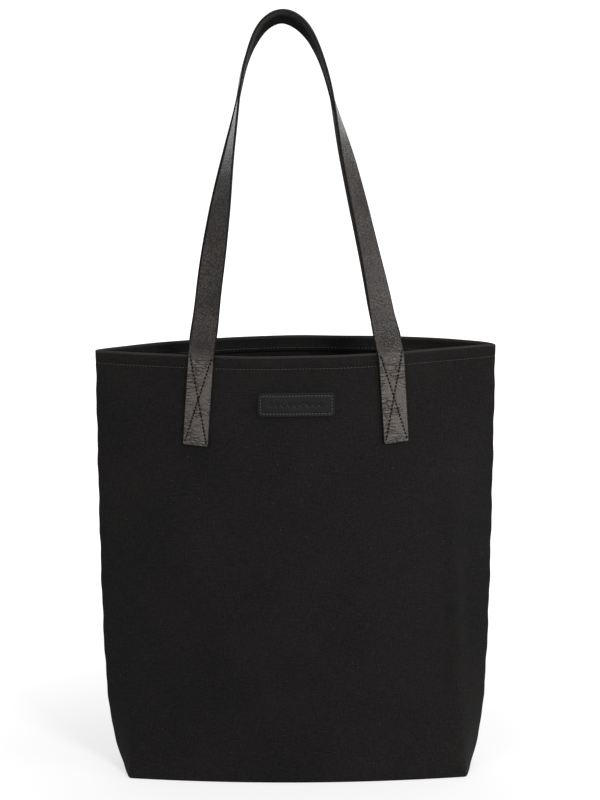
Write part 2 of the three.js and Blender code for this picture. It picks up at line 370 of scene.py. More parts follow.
def cloth_section(across, height, face):
    """The middle of the cloth from above, as if it were the front. Across runs along the cloth. It
    is a shallow arch at the mouth and half a box at the base, because the flat base holds it open."""
    level = height / bag_height
    half_width = belly_half_width + (mouth_half_width - belly_half_width) * level
    pucker = seam_pucker * (np.sin(height / 0.0092) + 0.6 * np.sin(height / 0.0037 + 1))
    half_depth = mouth_depth[face] + belly_bulge[face] * np.sin(math.pi * level)
    share = across / (panel_width / 2)
    beyond = soft_corner(np.abs(across) - base_width / 2, corner_softness * height)
    past_corner = np.clip(beyond / (base_depth / 2), 0, 1)
    box_x = np.sign(across) * (np.abs(across) - beyond + base_end_bow * past_corner * (2 - past_corner))
    box_x = box_x + base_shift
    bow = base_bow * np.clip(1 - (across / (base_width / 2)) ** 2, 0, 1)
    box_y = -base_depth / 2 + beyond - bow
    boxed = np.exp(-height / boxed_fade)
    x = boxed * box_x + (1 - boxed) * (half_width * share + pucker * share ** 7)
    y = boxed * box_y - (1 - boxed) * half_depth * (1 - share ** 2)
    return x, y


def cloth_point(across, height, face, outward=0.0, hem=1.0):
    """Points at a distance out from the middle of the cloth, as if it were the front."""
    across, height = np.broadcast_arrays(np.asarray(across, float), np.asarray(height, float))
    ahead_x, ahead_y = cloth_section(across + small_step, height, face)
    behind_x, behind_y = cloth_section(across - small_step, height, face)
    along_x, along_y = ahead_x - behind_x, ahead_y - behind_y
    length = np.hypot(along_x, along_y)
    x, y = cloth_section(across, height, face)
    reach = outward + sway(across, height, face, hem)
    slant = rim_slant * across / panel_width * height / bag_height
    return np.stack([x + along_y / length * reach, y - along_x / length * reach, height + slant], axis=-1)


def unit(vectors):
    return vectors / np.linalg.norm(vectors, axis=-1, keepdims=True)


def cloth_normal(across, height, face):
    def slope(aside, above):
        return (cloth_point(across + aside, height + above, face, 0.0, 0.0)
                - cloth_point(across - aside, height - above, face, 0.0, 0.0))

    along, up = slope(small_step, 0), slope(0, small_step)
    return unit(np.cross(along, up))


def mesh_piece(name, points, faces, materials, surface=None, face="front", slots=None):
    """A smooth mesh. What is made for the back is made as if it were the front, and mirrored here."""
    points = np.array(points, float)
    if face == "back":
        points[:, 1] *= -1
        faces = [tuple(reversed(corners)) for corners in faces]
    mesh = bpy.data.meshes.new(name)
    mesh.from_pydata(points.tolist(), [], [tuple(int(i) for i in corners) for corners in faces])
    if surface is not None:
        layer = mesh.uv_layers.new(name="surface")
        corner = np.zeros(len(mesh.loops), int)
        mesh.loops.foreach_get("vertex_index", corner)
        layer.data.foreach_set("uv", np.stack([surface[0][corner], surface[1][corner]], axis=-1).ravel())
    for material in materials:
        mesh.materials.append(material)
    if slots is not None:
        mesh.polygons.foreach_set("material_index", slots)
    mesh.polygons.foreach_set("use_smooth", [True] * len(mesh.polygons))
    mesh.update()
    piece = bpy.data.objects.new(name, mesh)
    scene.collection.objects.link(piece)
    return piece


def made_plain(piece):
    """Turns the piece and its modifiers into one plain mesh."""
    graph = bpy.context.evaluated_depsgraph_get()
    graph.update()
    plain = bpy.data.meshes.new_from_object(piece.evaluated_get(graph), depsgraph=graph)
    plain.name = piece.name
    piece.modifiers.clear()
    piece.data = plain
    return piece


middle_columns = 158
flap_shares = np.array([0, 0.03, 0.07, 0.13, 0.21, 0.31, 0.42, 0.54, 0.66, 0.78, 0.9, 1.0])
lip_steps = 5
hem_rows = 6
rim_steps = 7
rim_row_pitch = 0.001
rim_rows_depth = 0.0185
wall_row_pitch = 0.003
low_heights = np.array([0, 0.0006, 0.0014, 0.0024, 0.0038, 0.0056, 0.008, 0.011])


def seam_start(height, face):
    """How far across the cloth turns in at the side seam, and its slope there."""
    edge = panel_width / 2
    x1, y1 = cloth_section(edge - small_step, height, face)
    x2, y2 = cloth_section(edge, height, face)
    angle = math.atan2(abs(y2 - y1), x2 - x1)
    short = seam_half_gap + seam_lip * (1 + math.cos(angle))
    return edge - short / max(math.sin(angle), 0.2), angle


def cloth_row(height, face, outward, allowance, dip):
    """One level line of a panel, from the raw edge in the left seam to that in the right seam."""
    start, angle = seam_start(float(height), face)
    middle = np.linspace(-base_width / 2, base_width / 2, middle_columns + 1)
    flap = base_width / 2 + flap_shares[1:] * (start - base_width / 2)
    across = np.concatenate([-flap[::-1], middle, flap])
    points = cloth_point(across, height, face, outward)
    points[:, 1] = np.minimum(points[:, 1], -seam_half_gap)
    ends = []
    for side, last in ((-1, points[0]), (1, points[-1])):
        turned = []
        for k in range(1, lip_steps + 1):
            turn = angle + (math.pi - angle) * k / lip_steps
            out = seam_lip * (math.sin(turn) - math.sin(angle))
            over = seam_lip * (math.cos(angle) - math.cos(turn))
            turned.append((last[0] + side * out, min(last[1] + over, -seam_half_gap), last[2]))
        turned.append((turned[-1][0] - side * allowance, -seam_half_gap, last[2]))
        ends.append(np.array(turned))
    lip = seam_lip * (math.pi - angle) * np.arange(1, lip_steps + 1) / lip_steps
    extra = np.append(lip, lip[-1] + allowance)
    u = np.concatenate([-(start + extra)[::-1], across, start + extra])
    row = np.concatenate([ends[0][::-1], points, ends[1]])
    from_seam = panel_width / 2 - np.minimum(np.abs(u), panel_width / 2)
    row[:, 2] -= dip * np.where(u > 0, right_corner_dip, 1.0) * np.exp(-from_seam / rim_dip_reach)
    return row, u


def canvas_panel(face):
    fold = canvas_thickness + hem_air
    rim_height = bag_height - canvas_thickness / 2
    rows, u_rows, v_rows = [], [], []

    def keep(height, outward, allowance, dip, v):
        row, u = cloth_row(height, face, outward, allowance, dip)
        rows.append(row)
        u_rows.append(u)
        v_rows.append(np.full(len(row), v))

    for k in range(hem_rows):
        drop = hem_depth * (1 - k / hem_rows)
        keep(rim_height - fold / 2 - drop, -fold, hem_allowance, rim_dip, -drop)
    for k in range(rim_steps + 1):
        turn = math.pi * k / rim_steps
        keep(rim_height - fold / 2 + fold / 2 * math.sin(turn), -fold / 2 * (1 + math.cos(turn)),
             hem_allowance, rim_dip, 0.0)
    top = rim_height - fold / 2
    near_rim = np.arange(top - rim_row_pitch, top - rim_rows_depth, -rim_row_pitch)
    count = int((near_rim[-1] - low_heights[-1]) / wall_row_pitch)
    wall = np.linspace(near_rim[-1], low_heights[-1], count, endpoint=False)[1:]
    for height in np.concatenate([near_rim, wall, low_heights[::-1]]):
        hemmed = height > bag_height - hem_depth - below_hem
        dip = rim_dip * math.exp(-(bag_height - height) / rim_dip_fade)
        keep(height, 0.0, hem_allowance if hemmed else seam_allowance, dip, bag_height - height)

    # The wall and the flaps beside it, then the half of the base that the wall turns into
    points = np.concatenate(rows)
    width = len(rows[0])
    quads = []
    for r in range(len(rows) - 1):
        for c in range(width - 1):
            a = r * width + c
            quads.append((a, a + width, a + width + 1, a + 1))
    flap_columns = len(flap_shares) - 1
    left_corner = (len(rows) - 1) * width + lip_steps + 1 + flap_columns
    right_corner = left_corner + middle_columns
    wall_foot = points[left_corner: right_corner + 1].copy()
    base_lines = [np.arange(left_corner, right_corner + 1)]
    stop = -(seam_half_gap + seam_lip)
    added, u_added, v_added = [], [], []
    index = len(points)
    for k, share in enumerate(flap_shares[1:], start=1):
        line = wall_foot[1:-1].copy()
        line[:, 1] = line[:, 1] * (1 - share) + stop * share
        added.append(line)
        u_added.append(line[:, 0])
        v_added.append(np.full(len(line), bag_height + base_depth / 2 * share))
        inner = np.arange(index, index + len(line))
        base_lines.append(np.concatenate([[left_corner - k], inner, [right_corner + k]]))
        index += len(line)
    for k in range(1, lip_steps + 2):
        turn = math.pi / 2 * min(k, lip_steps) / lip_steps
        line = wall_foot.copy()
        line[:, 1] = stop + seam_lip * math.sin(turn)
        line[:, 2] = seam_lip * (1 - math.cos(turn)) + (base_allowance if k > lip_steps else 0)
        added.append(line)
        u_added.append(line[:, 0])
        v_added.append(bag_height + base_depth / 2 + line[:, 2] + 0.0001 * k)
        base_lines.append(np.arange(index, index + len(line)))
        index += len(line)
    for first, second in zip(base_lines[:-1], base_lines[1:]):
        for c in range(middle_columns):
            quads.append((first[c], second[c], second[c + 1], first[c + 1]))
    points = np.concatenate([points] + added)
    points[:, 2] += canvas_thickness / 2 * np.clip(1 - points[:, 2] / 0.02, 0, 1)
    return points, quads, (np.concatenate(u_rows + u_added), np.concatenate(v_rows + v_added))


for face in ("front", "back"):
    points, quads, surface = canvas_panel(face)
    panel = mesh_piece(f"{face}_canvas", points, quads, [canvas], surface, face)
    foot = panel.vertex_groups.new(name="foot")
    foot.add([i for i, p in enumerate(points) if p[2] < foot_height and p[1] < -foot_reach], 1.0, "REPLACE")
    soften = panel.modifiers.new("soft_base_fold", "SMOOTH")
    soften.vertex_group = "foot"
    soften.factor = 0.5
    soften.iterations = 8
    thicken = panel.modifiers.new("canvas_thickness", "SOLIDIFY")
    thicken.thickness = canvas_thickness
    thicken.offset = 0
    made_plain(panel)
    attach(panel, "bag")
    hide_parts(f"{face}_panel")


# ---- Seam bindings ----
# Narrow cotton twill tape, folded over the raw edges inside the bag: down both side seams, along the
# middle of the base, and across its two ends.

tape_thickness = 0.00045
tape_half_gap = 0.00165
tape_reach = 0.0068


def sweep(outline, centres, across, normal, size=None):
    """A closed solid whose outline, in metres across and out, is carried along a line of centres."""
    count, around = len(centres), len(outline)
    a = np.tile(outline[:, 0], (count, 1))
    n = np.tile(outline[:, 1], (count, 1))
    if size is not None:
        a *= size[:, :1]
        n *= size[:, 1:]
    points = (centres[:, None] + a[..., None] * across[:, None] + n[..., None] * normal[:, None])
    faces = []
    for k in range(count - 1):
        for j in range(around):
            ahead = (j + 1) % around
            faces.append((k * around + j, k * around + ahead,
                          (k + 1) * around + ahead, (k + 1) * around + j))
    faces.append(tuple(reversed(range(around))))
    faces.append(tuple((count - 1) * around + j for j in range(around)))
    return points.reshape(-1, 3), faces


def distance_along(points):
    steps = np.linalg.norm(np.diff(points, axis=0), axis=1)
    return np.concatenate([[0], np.cumsum(steps)])


def folded_tape_outline():
    """The tape's section, a hairpin round the raw edge. Across runs from its fold to its two edges."""
    outer = tape_half_gap + tape_thickness / 2
    inner = tape_half_gap - tape_thickness / 2
    turn = np.linspace(math.pi / 2, 3 * math.pi / 2, 9)
    outside = [(tape_reach * s, outer) for s in (1, 0.66, 0.33)]
    outside += [(outer * math.cos(t), outer * math.sin(t)) for t in turn]
    outside += [(tape_reach * s, -outer) for s in (0.33, 0.66, 1)]
    inside = [(tape_reach * s, -inner) for s in (1, 0.66, 0.33)]
    inside += [(inner * math.cos(t), inner * math.sin(t)) for t in turn[::-1]]
    inside += [(tape_reach * s, inner) for s in (0.33, 0.66, 1)]
    return np.array(outside + inside)


def twill_group():
    """Height of a fine twill, with ribs that run slantwise across the tape."""
    tree, given, result = new_group(
        "twill", [("Vector", "NodeSocketVector", None), ("Rib pitch", "NodeSocketFloat", 0.0009)],
        [("Height", "NodeSocketFloat")])
    across = split(tree, given["Vector"])
    slant = calc(tree, "ADD", across[0], calc(tree, "MULTIPLY", across[1], 0.8))
    angle = calc(tree, "MULTIPLY", slant, calc(tree, "DIVIDE", 2 * math.pi, given["Rib pitch"]))
    fluff = calc(tree, "MULTIPLY", noise(tree, given["Vector"], 2200.0, 2.0)[0], 0.8)
    tree.links.new(calc(tree, "ADD", calc(tree, "SINE", angle), fluff), result["Height"])
    return tree


twill = twill_group()
seam_tape, tape_tree, tape_shader = new_material("black_twill_tape")
tape_place = surface_coordinates(tape_tree)
ribs = place_group(tape_tree, twill, Vector=tape_place)
feed(tape_shader,
     Base_Color=blend_colours(tape_tree, noise(tape_tree, tape_place, 90.0, 3.0)[0],
                              (0.008, 0.0076, 0.0074, 1), (0.022, 0.021, 0.0205, 1)),
     Normal=bump(tape_tree, ribs["Height"], 0.00012), Roughness=0.8, Specular_IOR_Level=0.3)


def bind_seam(name, centres, across, normal, node):
    """Folds a tape round a raw edge. Across and normal are the same all along the line."""
    outline = folded_tape_outline()
    across, normal = (np.tile(np.array(vector, float), (len(centres), 1)) for vector in (across, normal))
    points, faces = sweep(outline, centres, across, normal)
    around = distance_along(np.concatenate([outline, outline[:1]]))[:-1]
    u = np.tile(around, len(centres))
    v = np.repeat(distance_along(centres), len(outline))
    tape = mesh_piece(name, points, faces, [seam_tape], (u, v))
    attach(tape, "bag")
    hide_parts(node)
    return centres, across, normal


def straight_line(x, y, z):
    return np.stack(np.broadcast_arrays(x, y, z), axis=-1).astype(float)


side_tape_foot = 0.0095
side_tape_short = 0.001
side_tape_inset = 0.0004
base_tape_height = canvas_thickness + 0.0085
base_tape_short = 0.0075
corner_tape_short = 0.0085
corner_tape_inset = 0.0045
side_tape_lines = []

for name, side in (("left", -1), ("right", 1)):
    heights = np.linspace(side_tape_foot, bag_height - hem_depth - side_tape_short, 90)
    raw_edge = np.array([max(abs(cloth_row(h, f, 0.0, seam_allowance, 0)[0][-1][0])
                             for f in ("front", "back")) for h in heights])
    slanted = heights * (1 + side * rim_slant / 2 / bag_height)
    side_tape_lines.append(bind_seam(
        f"{name}_seam_tape", straight_line(side * (raw_edge - side_tape_inset), 0.0, slanted),
        (side, 0, 0), (0, side, 0), f"{name}_seam_binding"))

    # Across the end of the base
    reach = base_depth / 2 - corner_tape_short
    centres = straight_line(side * (base_width / 2 - corner_tape_inset), np.linspace(-reach, reach, 30),
                            base_tape_height)
    bind_seam(f"{name}_corner_tape", centres, (0, 0, -1), (-1, 0, 0), f"{name}_corner_binding")

reach = base_width / 2 - base_tape_short
bind_seam("base_seam_tape", straight_line(np.linspace(-reach, reach, 100), 0.0, base_tape_height),
          (0, 0, -1), (0, 1, 0), "base_seam_binding")


# ---- Leather handles ----
# Each handle is one strap of black grained leather, one long piece. Its ends lie flat on the outside
# of the bag. Between them it stands up, and turns about its own length until it lies crosswise at
# the top. The grain side is smooth and pebbled, and the cut edges are sealed with black paint.

strap_width = 0.025
strap_thickness = 0.0022
strap_edge_rounding = 0.0009
strap_air = 0.0003
strap_spacing = 0.174
tab_length = 0.084
tab_splay = math.tan(math.radians(4))
strap_across = strap_spacing / (2 * mouth_half_width) * panel_width / 2
strap_seat = canvas_thickness / 2 + strap_air + strap_thickness / 2
strap_lift = strap_seat + 0.0003
tab_row_pitch = 0.0008
grain_points = 41
under_points = 13
arch_points = 401
turn_smoothing = 80
rim_smoothing = 30
rim_smoothing_reach = 0.012
handle_rise = {"front": 0.3088, "back": 0.3040}
handle_lean = -0.0070
top_lean = -0.0050
handle_drift = {"front": 0.0, "back": -0.0022}
handle_meet_depth = 0.013
arch_outline = (
    (1, 0), (0.942, 0.08), (0.896, 0.165), (0.808, 0.31), (0.710, 0.457), (0.604, 0.605),
    (0.500, 0.745), (0.425, 0.84), (0.30, 0.93), (0.158, 0.982))
turn_shares = (0, 0.13, 0.28, 0.42, 0.56, 0.70, 0.75, 0.81, 0.85, 0.88, 0.92, 1)
turn_degrees = {
    "front": {-1: (14, 27, 33, 51, 75, 89, 94, 97, 100, 106, 114, 132),
              1: (9, 28, 46, 54, 64, 88, 94, 97, 100, 106, 114, 132)},
    "back": {-1: (14, 27, 38, 54, 72, 88, 91, 93, 94, 96, 98, 101),
             1: (12, 28, 44, 54, 66, 88, 91, 93, 94, 96, 98, 101)}}


def leather_group():
    """Height of pebbled leather and its creases, and a mask for a painted highlight on its high spots."""
    tree, given, result = new_group(
        "grained_leather",
        [("Vector", "NodeSocketVector", None), ("Pebble size", "NodeSocketFloat", 0.0013),
         ("Crease size", "NodeSocketFloat", 0.0048), ("Creasing", "NodeSocketFloat", 0.15)],
        [("Height", "NodeSocketFloat"), ("Creases", "NodeSocketFloat"), ("Painted highlight", "NodeSocketFloat")])
    where = given["Vector"]
    wander = noise(tree, where, 420.0, 2.0)["Color"]
    bent = moved(tree, where, scaled(tree, wander, (0.0007, 0.0007, 0.0007)))
    pebbles, small = (
        add_node(tree, "ShaderNodeTexVoronoi", {"feature": "SMOOTH_F1"}, Vector=bent, Smoothness=smooth,
                 Scale=calc(tree, "DIVIDE", finer, given["Pebble size"])).outputs["Distance"]
        for finer, smooth in ((1.0, 0.35), (2.4, 0.4)))
    hollows = calc(tree, "ADD", pebbles, calc(tree, "MULTIPLY", small, 0.35))
    wide = noise(tree, where, 45.0, 3.0)[0]

    # Creases run across the strap, in patches
    sideways = noise(tree, where, 150.0, 2.0)["Color"]
    curled = moved(tree, bent, scaled(tree, sideways, (0.0045, 0.0045, 0.0045)))
    lines = add_node(tree, "ShaderNodeTexVoronoi", {"feature": "DISTANCE_TO_EDGE"},
                     Vector=scaled(tree, curled, (0.40, 1.6, 1.0)),
                     Scale=calc(tree, "DIVIDE", 1.0, given["Crease size"])).outputs["Distance"]
    crease = stretch(tree, lines, 0.0, 0.20, 1.0, 0.0)
    creases = calc(tree, "MULTIPLY", crease, stretch(tree, wide, 0.42, 0.56))
    creases = calc(tree, "MULTIPLY", creases, given["Creasing"])
    grain_height = calc(tree, "SUBTRACT", calc(tree, "MULTIPLY", hollows, -0.6),
                        calc(tree, "MULTIPLY", creases, 1.7))
    # The mask for the pebbles' painted highlight: high on their tops, and more so in wide patches of random
    # tone
    painted_highlight = calc(tree, "MULTIPLY", wide, calc(tree, "SUBTRACT", 1.0, hollows))
    tree.links.new(grain_height, result["Height"])
    tree.links.new(creases, result["Creases"])
    tree.links.new(painted_highlight, result["Painted highlight"])
    return tree


grained_leather = leather_group()
light_creasing = 0.15


def leather_material(name, dark, pale, pebble, relief, smooth, rough, gloss=0.5, lit_edge=0.0, ends_from=None):
    """A finish of leather. A lit edge paints it paler towards one edge, a painted light; ends_from creases
    its ends and paints them paler, also a painted light.
    """
    material, tree, shader = new_material(name)
    where = surface_coordinates(tree)
    creasing = light_creasing
    if ends_from:
        ends = stretch(tree, calc(tree, "ABSOLUTE", split(tree, where)[1]),
                       ends_from, ends_from + 0.023, soft=True)
        creasing = calc(tree, "ADD", calc(tree, "MULTIPLY", ends, 1 - light_creasing), light_creasing)
    grain = place_group(tree, grained_leather, Vector=where, Pebble_size=pebble, Creasing=creasing)
    # Paler on the pebble tops and darker in the hollows: painted highlight and painted shade
    lit = stretch(tree, grain["Painted highlight"], 0.1, 0.45)
    colour = blend_colours(tree, lit, dark, pale)
    # Towards the ends the colour is paler still: painted light on the flat ends of the strap
    if ends_from:
        lit_end_pale = tuple(1.9 * c for c in pale[:3]) + (1,)
        colour = blend_colours(tree, ends, colour, blend_colours(tree, lit, pale, lit_end_pale))
    # Painted shade: the creases are coloured darker
    colour = blend_colours(tree, calc(tree, "MULTIPLY", grain["Creases"], 0.8), colour, dark)
    # Painted light: the colour turns paler towards one edge of the piece, as if light falls there
    if lit_edge:
        patches = calc(tree, "MULTIPLY", noise(tree, where, 120.0, 4.0)[0], 0.008)
        reach = calc(tree, "ADD", split(tree, where)[0], patches)
        painted_highlight = stretch(tree, reach, 0.0200, 0.0290, 1.0, 0.0, soft=True)
        colour = blend_colours(tree, painted_highlight, colour, (lit_edge, 0.89 * lit_edge, 0.82 * lit_edge, 1))
    feed(shader, Base_Color=colour, Normal=bump(tree, grain["Height"], relief), Specular_IOR_Level=gloss,
         Roughness=stretch(tree, noise(tree, where, 70.0, 4.0)[0], 0.3, 0.7, smooth, rough))
    return material


grain_side = leather_material(
    "black_grained_leather", dark=(0.020, 0.0165, 0.0148, 1), pale=(0.107, 0.0915, 0.0820, 1),
    pebble=0.0015, relief=0.00060, smooth=0.33, rough=0.45, ends_from=0.320)
flesh_side = leather_material(
    "black_leather_underside", dark=(0.0032, 0.0028, 0.0026, 1), pale=(0.0090, 0.0078, 0.0072, 1),
    pebble=0.0006, relief=0.00010, smooth=0.66, rough=0.80, gloss=0.15, lit_edge=0.054)
painted_edge = leather_material(
    "black_edge_paint", dark=(0.0030, 0.0029, 0.0028, 1), pale=(0.0070, 0.0067, 0.0065, 1),
    pebble=0.0009, relief=0.00004, smooth=0.40, rough=0.52, gloss=0.3)


def smooth_line(points, count):
    """A smooth curve through the points: a natural cubic in each coordinate, evenly sampled."""
    knots = distance_along(points)
    steps = np.diff(knots)
    size = len(points)
    system = np.zeros((size, size))
    right = np.zeros((size, 3))
    system[0, 0] = system[-1, -1] = 1
    for k in range(1, size - 1):
        system[k, k - 1] = steps[k - 1]
        system[k, k] = 2 * (steps[k - 1] + steps[k])
        system[k, k + 1] = steps[k]
        right[k] = 6 * ((points[k + 1] - points[k]) / steps[k] - (points[k] - points[k - 1]) / steps[k - 1])
    bend = np.linalg.solve(system, right)
    at = np.linspace(0, knots[-1], count)
    k = np.clip(np.searchsorted(knots, at, side="right") - 1, 0, size - 2)
    left, ahead = (at - knots[k])[:, None], (knots[k + 1] - at)[:, None]
    step = steps[k][:, None]
    return (bend[k] * ahead ** 3 / (6 * step) + bend[k + 1] * left ** 3 / (6 * step)
            + (points[k] / step - bend[k] * step / 6) * ahead
            + (points[k + 1] / step - bend[k + 1] * step / 6) * left)


def smoothstep(share):
    share = np.clip(share, 0, 1)
    return share * share * (3 - 2 * share)


def evened(line):
    """Each point but the first and last moves halfway to the middle of its neighbours."""
    result = line.copy()
    result[1:-1] = 0.25 * line[:-2] + 0.5 * line[1:-1] + 0.25 * line[2:]
    return result


def strap_centre_line(face):
    """Up one end, over the top and down the other, with the vectors across and out at each point."""
    drops = np.arange(tab_length + strap_air, strap_air, -tab_row_pitch)
    heights = bag_height - drops
    root = cloth_point(np.array(strap_across), np.array(bag_height), face, strap_lift, 0.0)
    spread = np.array([s for s, _ in arch_outline])
    climb = np.array([c for _, c in arch_outline])

    def arch_side(side, spread, climb):
        return np.stack([
            side * spread * root[0] + handle_lean * np.sin(climb * math.pi / 2)
            + top_lean * climb ** 3 + handle_drift[face] * np.sin(climb * math.pi),
            root[1] + (-handle_meet_depth - root[1]) * smoothstep(climb),
            bag_height + handle_rise[face] * climb], axis=-1)

    top = arch_side(1, np.array([0.0]), np.array([1.0]))
    knots = np.concatenate([arch_side(-1, spread, climb), top, arch_side(1, spread, climb)[::-1]])
    arch = smooth_line(knots, arch_points)
    legs = {}
    for side in (-1, 1):
        across = side * (strap_across + drops * tab_splay)
        legs[side] = (cloth_point(across, heights, face, strap_lift, 0.0),
                      cloth_normal(across, heights, face))
    centres = np.concatenate([legs[-1][0], arch[1:-1], legs[1][0][::-1]])
    along = unit(np.gradient(centres, axis=0))

    # The direction that the grain side faces: from the cloth on the ends, turned about the strap above
    length = distance_along(arch)
    share = length / length[-1]
    from_rim = np.minimum(share, 1 - share)
    left_turn, right_turn = (
        np.interp(2 * from_rim, turn_shares, turn_degrees[face][side]) for side in (-1, 1))
    twist = np.radians(np.where(share < 0.5, left_turn, right_turn))
    for _ in range(turn_smoothing):
        twist = evened(twist)
    first = len(drops)
    arch_along = along[first: first + arch_points - 2]
    front = unit(np.array([0.0, -1.0, 0.0]) - arch_along * -arch_along[:, 1:2])
    inward = np.cross(arch_along, front)
    angle = -twist[1:-1, None]
    inner_edge = inward * np.cos(angle) + np.cross(arch_along, inward) * np.sin(angle)
    outward = np.concatenate([legs[-1][1], np.cross(inner_edge, arch_along), legs[1][1][::-1]])

    # Ease the strap where it leaves the cloth
    for _ in range(rim_smoothing):
        for line in (centres, outward):
            eased = evened(line)
            near = np.abs(centres[:, 2] - bag_height) < rim_smoothing_reach
            near[0] = near[-1] = False
            line[near] = eased[near]
    along = unit(np.gradient(centres, axis=0))
    outward = unit(outward - along * np.sum(outward * along, axis=1, keepdims=True))
    return centres, np.cross(along, outward), outward, first


def strap_outline():
    """The strap's section, with rounded edges, and which of its three finishes each side has."""
    deep = strap_thickness / 2
    flat = strap_width / 2 - strap_edge_rounding
    grain = [(a, deep) for a in np.linspace(-flat, flat, grain_points)]
    rim = []
    for t in np.linspace(0, math.pi, 11)[1:-1]:
        around, down = math.sin(t) ** 0.7, math.copysign(abs(math.cos(t)) ** 0.7, math.cos(t))
        rim.append((flat + strap_edge_rounding * around, deep * down))
    under = [(a, -deep) for a in np.linspace(flat, -flat, under_points)]
    outline = np.array(grain + rim + under + [(-a, -n) for a, n in rim])
    painted = [2] * (len(rim) + 1)
    return outline, [0] * (grain_points - 1) + painted + [1] * (under_points - 1) + painted


cut_edge_rounding = 0.0007
cut_corner_rounding = 0.0016
groove_depth = 0.00045
groove_reach = 0.0011
cross_margin = 0.002
cross_half_width = strap_width / 2 - cross_margin
cross_length = tab_length - cross_margin + 0.0010
handle_lines = {}

for face in ("front", "back"):
    centres, across, outward, first = strap_centre_line(face)
    outline, finishes = strap_outline()
    handle_lines[face] = (centres, across, outward, first)
    reach = distance_along(centres)
    from_end = np.minimum(reach, reach[-1] - reach)
    inset, trimmed = (
        radius - np.sqrt(np.clip(radius ** 2 - np.clip(radius - from_end, 0, radius) ** 2, 0, None))
        for radius in (cut_edge_rounding, cut_corner_rounding))
    size = np.stack([1 - trimmed / (strap_width / 2), 1 - 0.7 * inset / (strap_thickness / 2)], axis=-1)
    points, faces = sweep(outline, centres, across, outward, size)

    # The two rows of stitches pull the leather in along a cross
    grid = points.reshape(len(centres), len(outline), 3)
    drop = from_end - cross_margin
    crossed = (drop > -0.001) & (drop < cross_length + 0.001)
    for j in range(grain_points):
        for lean in (-1, 1):
            line = lean * cross_half_width * (1 - 2 * drop / cross_length)
            near = np.exp(-((outline[j, 0] - line) / groove_reach) ** 2) * crossed
            grid[:, j] -= groove_depth * near[:, None] * outward
    around = distance_along(np.concatenate([outline, outline[:1]]))[:-1] - strap_width / 2
    surface = (np.tile(around, len(centres)), np.repeat(reach - reach[-1] / 2, len(outline)))
    slots = finishes * (len(centres) - 1) + [2, 2]
    strap = mesh_piece(f"{face}_handle_strap", grid.reshape(-1, 3), faces,
                       [grain_side, flesh_side, painted_edge], surface, face, slots)
    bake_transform(strap)
    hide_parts(f"{face}_strap_loop", f"{face}_strap_tab_left", f"{face}_strap_tab_right")


# ---- Stitching ----
# Strong black sewing thread, a little glossy. One row goes round the hem, seen outside and inside,
# one row holds each side tape, and two rows cross from corner to corner of each end of the handles.

def thread_material(name, dark, pale, roughness, gloss):
    material, tree, shader = new_material(name)
    strand = add_node(tree, "ShaderNodeAttribute", {"attribute_name": "strand"}).outputs["Vector"]
    parts = split(tree, strand)
    slant = calc(tree, "ADD", calc(tree, "MULTIPLY", parts[0], 26.0), calc(tree, "MULTIPLY", parts[1], 9.0))
    twisted = calc(tree, "SINE", slant)
    feed(shader, Base_Color=blend_colours(tree, stretch(tree, twisted, -1.0, 1.0), dark, pale),
         Normal=bump(tree, twisted, 0.00006), Roughness=roughness, Specular_IOR_Level=gloss)
    return material


strap_thread = thread_material("black_matt_thread", dark=(0.0012, 0.0011, 0.0011, 1),
                               pale=(0.0045, 0.0042, 0.0040, 1), roughness=0.65, gloss=0.2)
# A paler copy of the same black thread, for the canvas and the label: its paler colour is a painted
# highlight, as if the thread caught the light
cloth_thread = thread_material("black_thread_painted_highlight", dark=(0.020, 0.019, 0.018, 1),
                               pale=(0.090, 0.085, 0.081, 1), roughness=0.45, gloss=0.5)


